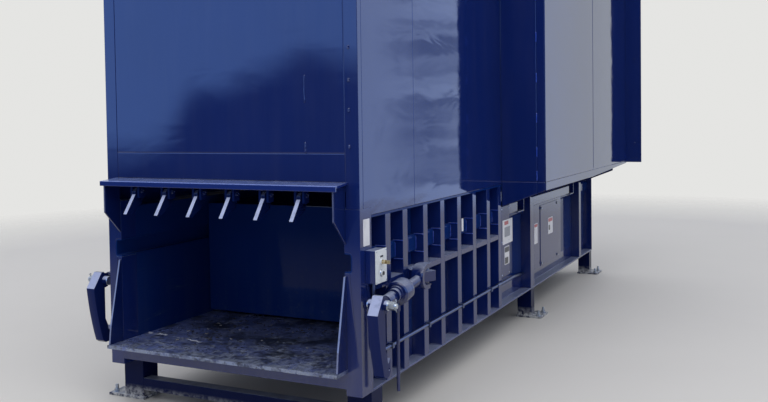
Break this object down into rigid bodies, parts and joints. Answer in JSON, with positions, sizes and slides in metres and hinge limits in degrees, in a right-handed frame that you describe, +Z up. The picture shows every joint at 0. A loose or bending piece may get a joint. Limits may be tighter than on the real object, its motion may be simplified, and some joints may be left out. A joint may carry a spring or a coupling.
{
  "type": "waste compactor",
  "caption": "Stationary refuse compactor: ribbed charge box with a sliding ram, toothed mouth, hopper hood and a walkway hood to a building wall.",
  "frame": {"origin": "on the ground under the centre of the machine's outer box", "axes": "+Z up, -Y out of the discharge mouth, +Y towards the building wall, X across"},
  "size_m": [2.716, 5.818, 3.507],
  "materials": {
    "blue_paint": "gloss",
    "grey_paint": "satin",
    "scraped_steel": "worn",
    "zinc_steel": "satin",
    "chromed_rod": "polished",
    "brass": "satin",
    "white_plastic": "matte",
    "black_plastic": "gloss"
  },
  "bodies": {
    "frame": {"front_frame": "blue_paint", "side_walls": "blue_paint", "guide_channels": "blue_paint", "side_sills": "blue_paint", "right_side_ribs": "blue_paint", "left_side_ribs": "blue_paint", "rear_side_frame": "blue_paint", "access_panel": "blue_paint", "access_door": "blue_paint", "door_bolts": "zinc_steel", "junction_box": "blue_paint", "chamber_floor": "scraped_steel", "floor_beams": "blue_paint", "mouth_lip": "blue_paint", "snout_cheeks": "blue_paint", "tooth_hangers": "blue_paint", "cylinder_barrel": "grey_paint", "cylinder_anchor": "blue_paint", "oil_tank": "blue_paint", "pump_and_motor": "grey_paint", "pressure_lines": "zinc_steel", "hopper_corner_strips": "blue_paint", "hopper_front_panels": "blue_paint", "hopper_side_panels": "blue_paint", "walkway_side_panels": "blue_paint", "step_panels": "blue_paint", "walkway_deck": "scraped_steel", "deck_frame": "blue_paint", "hood_roofs": "blue_paint", "wall_flange": "blue_paint", "anchor_bolts": "zinc_steel", "legs": "blue_paint", "binder_brackets": "blue_paint", "switch_box": "blue_paint", "switch_cover": "white_plastic", "conduit": "blue_paint", "conduit_clamps": "zinc_steel"},
    "ram": {"ram_face": "scraped_steel", "ram_shell": "blue_paint", "ram_shoes": "scraped_steel", "cylinder_rod": "chromed_rod"},
    "key": {"key_switch": "brass"},
    "button": {"push_button": "black_plastic"},
    "tooth_1_body": {"tooth_1": "blue_paint"},
    "tooth_2_body": {"tooth_2": "blue_paint"},
    "tooth_3_body": {"tooth_3": "blue_paint"},
    "tooth_4_body": {"tooth_4": "blue_paint"},
    "tooth_5_body": {"tooth_5": "blue_paint"},
    "tooth_6_body": {"tooth_6": "blue_paint"},
    "right_yoke": {"right_binder_yoke": "blue_paint"},
    "right_barrel": {"right_binder_barrel": "blue_paint"},
    "right_screw": {"right_binder_screw": "zinc_steel"},
    "right_claw": {"right_binder_claw": "blue_paint"},
    "right_lever": {"right_binder_lever": "blue_paint"},
    "left_yoke": {"left_binder_yoke": "blue_paint"},
    "left_barrel": {"left_binder_barrel": "blue_paint"},
    "left_screw": {"left_binder_screw": "zinc_steel"},
    "left_claw": {"left_binder_claw": "blue_paint"},
    "left_lever": {"left_binder_lever": "blue_paint"}
  },
  "joints": [
    {"name": "ram_slide", "type": "slide", "parent": "frame", "child": "ram", "axis": [0, -1, 0], "range_m": [-1.449, 1]},
    {"name": "tooth_1_swing", "type": "hinge", "parent": "frame", "child": "tooth_1_body", "pos_m": [-0.555, -2.797, 1.3], "axis": [-1, 0, 0], "range_deg": [0, 50]},
    {"name": "tooth_2_swing", "type": "hinge", "parent": "frame", "child": "tooth_2_body", "pos_m": [-0.333, -2.797, 1.3], "axis": [-1, 0, 0], "range_deg": [0, 50]},
    {"name": "tooth_3_swing", "type": "hinge", "parent": "frame", "child": "tooth_3_body", "pos_m": [-0.111, -2.797, 1.3], "axis": [-1, 0, 0], "range_deg": [0, 50]},
    {"name": "tooth_4_swing", "type": "hinge", "parent": "frame", "child": "tooth_4_body", "pos_m": [0.111, -2.797, 1.3], "axis": [-1, 0, 0], "range_deg": [0, 50]},
    {"name": "tooth_5_swing", "type": "hinge", "parent": "frame", "child": "tooth_5_body", "pos_m": [0.333, -2.797, 1.3], "axis": [-1, 0, 0], "range_deg": [0, 50]},
    {"name": "tooth_6_swing", "type": "hinge", "parent": "frame", "child": "tooth_6_body", "pos_m": [0.555, -2.797, 1.3], "axis": [-1, 0, 0], "range_deg": [0, 50]},
    {"name": "key_turn", "type": "hinge", "parent": "frame", "child": "key", "pos_m": [0.915, -2.597, 0.944], "axis": [1, 0, 0], "range_deg": [0, 90]},
    {"name": "button_push", "type": "slide", "parent": "frame", "child": "button", "axis": [-1, 0, 0], "range_m": [0, 0.004], "stiffness_N_per_m": 1500, "springref_m": -0.002},
    {"name": "right_binder_swing", "type": "hinge", "parent": "frame", "child": "right_yoke", "pos_m": [0.955, -2.114, 0.792], "axis": [0, 0, 1], "range_deg": [0, 70]},
    {"name": "right_barrel_turn", "type": "hinge", "parent": "right_yoke", "child": "right_barrel", "pos_m": [0.955, -2.114, 0.792], "axis": [0, -0.9952, -0.0983], "range_deg": [0, 3600]},
    {"name": "right_screw_draw", "type": "slide", "parent": "right_yoke", "child": "right_screw", "axis": [0, -0.9952, -0.0983], "range_m": [0, 0.12]},
    {"name": "right_claw_swing", "type": "hinge", "parent": "right_screw", "child": "right_claw", "pos_m": [0.955, -2.691, 0.735], "axis": [-1, 0, 0], "range_deg": [-15, 60]},
    {"name": "right_lever_swing", "type": "hinge", "parent": "right_yoke", "child": "right_lever", "pos_m": [0.955, -2.114, 0.792], "axis": [0, -0.9952, -0.0983], "range_deg": [-8, 140]},
    {"name": "left_binder_swing", "type": "hinge", "parent": "frame", "child": "left_yoke", "pos_m": [-0.955, -2.114, 0.792], "axis": [0, 0, -1], "range_deg": [0, 70]},
    {"name": "left_barrel_turn", "type": "hinge", "parent": "left_yoke", "child": "left_barrel", "pos_m": [-0.955, -2.114, 0.792], "axis": [0, -0.9952, -0.0983], "range_deg": [0, 3600]},
    {"name": "left_screw_draw", "type": "slide", "parent": "left_yoke", "child": "left_screw", "axis": [0, -0.9952, -0.0983], "range_m": [0, 0.12]},
    {"name": "left_claw_swing", "type": "hinge", "parent": "left_screw", "child": "left_claw", "pos_m": [-0.955, -2.691, 0.735], "axis": [-1, 0, 0], "range_deg": [-15, 60]},
    {"name": "left_lever_swing", "type": "hinge", "parent": "left_yoke", "child": "left_lever", "pos_m": [-0.955, -2.114, 0.792], "axis": [0, 0.9952, 0.0983], "range_deg": [-8, 140]}
  ],
  "couplings": [
    {"joint": "right_screw_draw", "follows": "right_barrel_turn", "m_per_rad": 0.0019099},
    {"joint": "left_screw_draw", "follows": "left_barrel_turn", "m_per_rad": 0.0019099}
  ]
}
